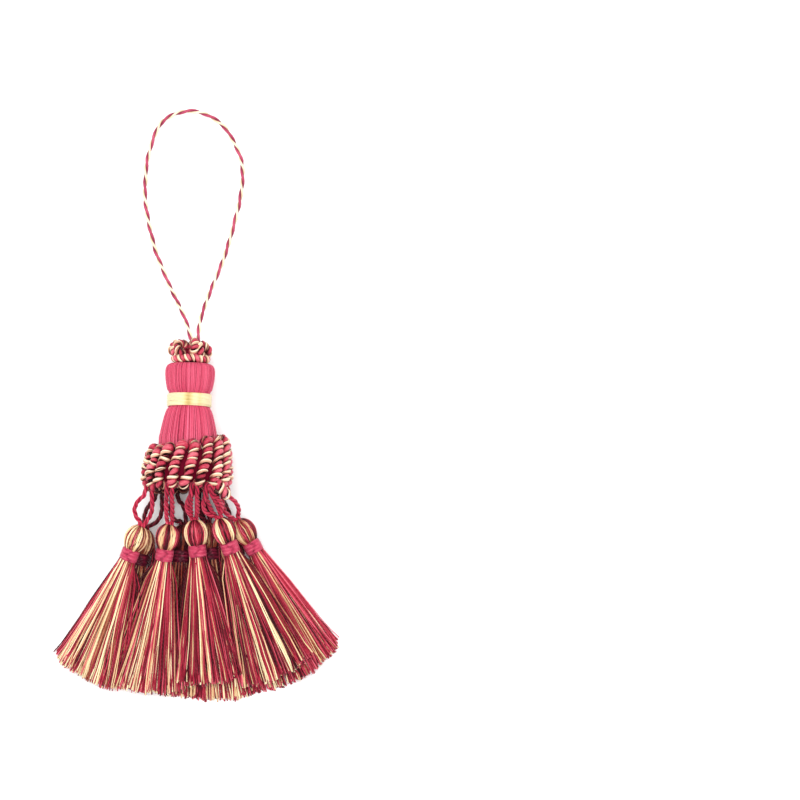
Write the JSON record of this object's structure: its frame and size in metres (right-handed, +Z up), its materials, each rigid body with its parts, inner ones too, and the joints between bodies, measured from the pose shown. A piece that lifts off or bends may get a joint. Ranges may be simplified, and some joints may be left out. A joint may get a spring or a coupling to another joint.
{
  "type": "curtain tieback tassel",
  "caption": "Curtain tieback tassel: a hanging loop, a bound head with a corded ruff, and small tassels hung in a cluster under it, lying flat.",
  "frame": {"origin": "the flat spot on which the big ruff rests, below the head's axis; the surface is z = 0", "axes": "+Y towards the hanging loop, +Z up from the surface, +X to the right seen from above with the loop at the top"},
  "size_m": [0.1158, 0.2361, 0.0373],
  "materials": {
    "satin_crimson": "satin threads laid side by side",
    "satin_gold": "satin threads wound round",
    "gimp_two_tone": "thick twisted cord, crimson with gold",
    "cord_two_tone": "thin two-ply cord, crimson and gold",
    "crimson_thread": "satin twisted and wound thread",
    "skirt_threads": "loose threads, crimson and gold"
  },
  "bodies": {
    "root": {"head": "satin_crimson", "gold_band": "satin_gold", "ruff": "gimp_two_tone", "collar": "gimp_two_tone", "hanging_loop": "cord_two_tone", "tassel_back_1": "skirt_threads", "binding_back_1": "crimson_thread", "hanger_back_1": "crimson_thread", "tassel_back_2": "skirt_threads", "binding_back_2": "crimson_thread", "hanger_back_2": "crimson_thread", "tassel_back_3": "skirt_threads", "binding_back_3": "crimson_thread", "hanger_back_3": "crimson_thread", "tassel_back_4": "skirt_threads", "binding_back_4": "crimson_thread", "hanger_back_4": "crimson_thread", "tassel_front_1": "skirt_threads", "binding_front_1": "crimson_thread", "hanger_front_1": "crimson_thread", "tassel_front_2": "skirt_threads", "binding_front_2": "crimson_thread", "hanger_front_2": "crimson_thread", "tassel_front_3": "skirt_threads", "binding_front_3": "crimson_thread", "hanger_front_3": "crimson_thread", "tassel_front_4": "skirt_threads", "binding_front_4": "crimson_thread", "hanger_front_4": "crimson_thread", "tassel_front_5": "skirt_threads", "binding_front_5": "crimson_thread", "hanger_front_5": "crimson_thread"}
  },
  "joints": []
}
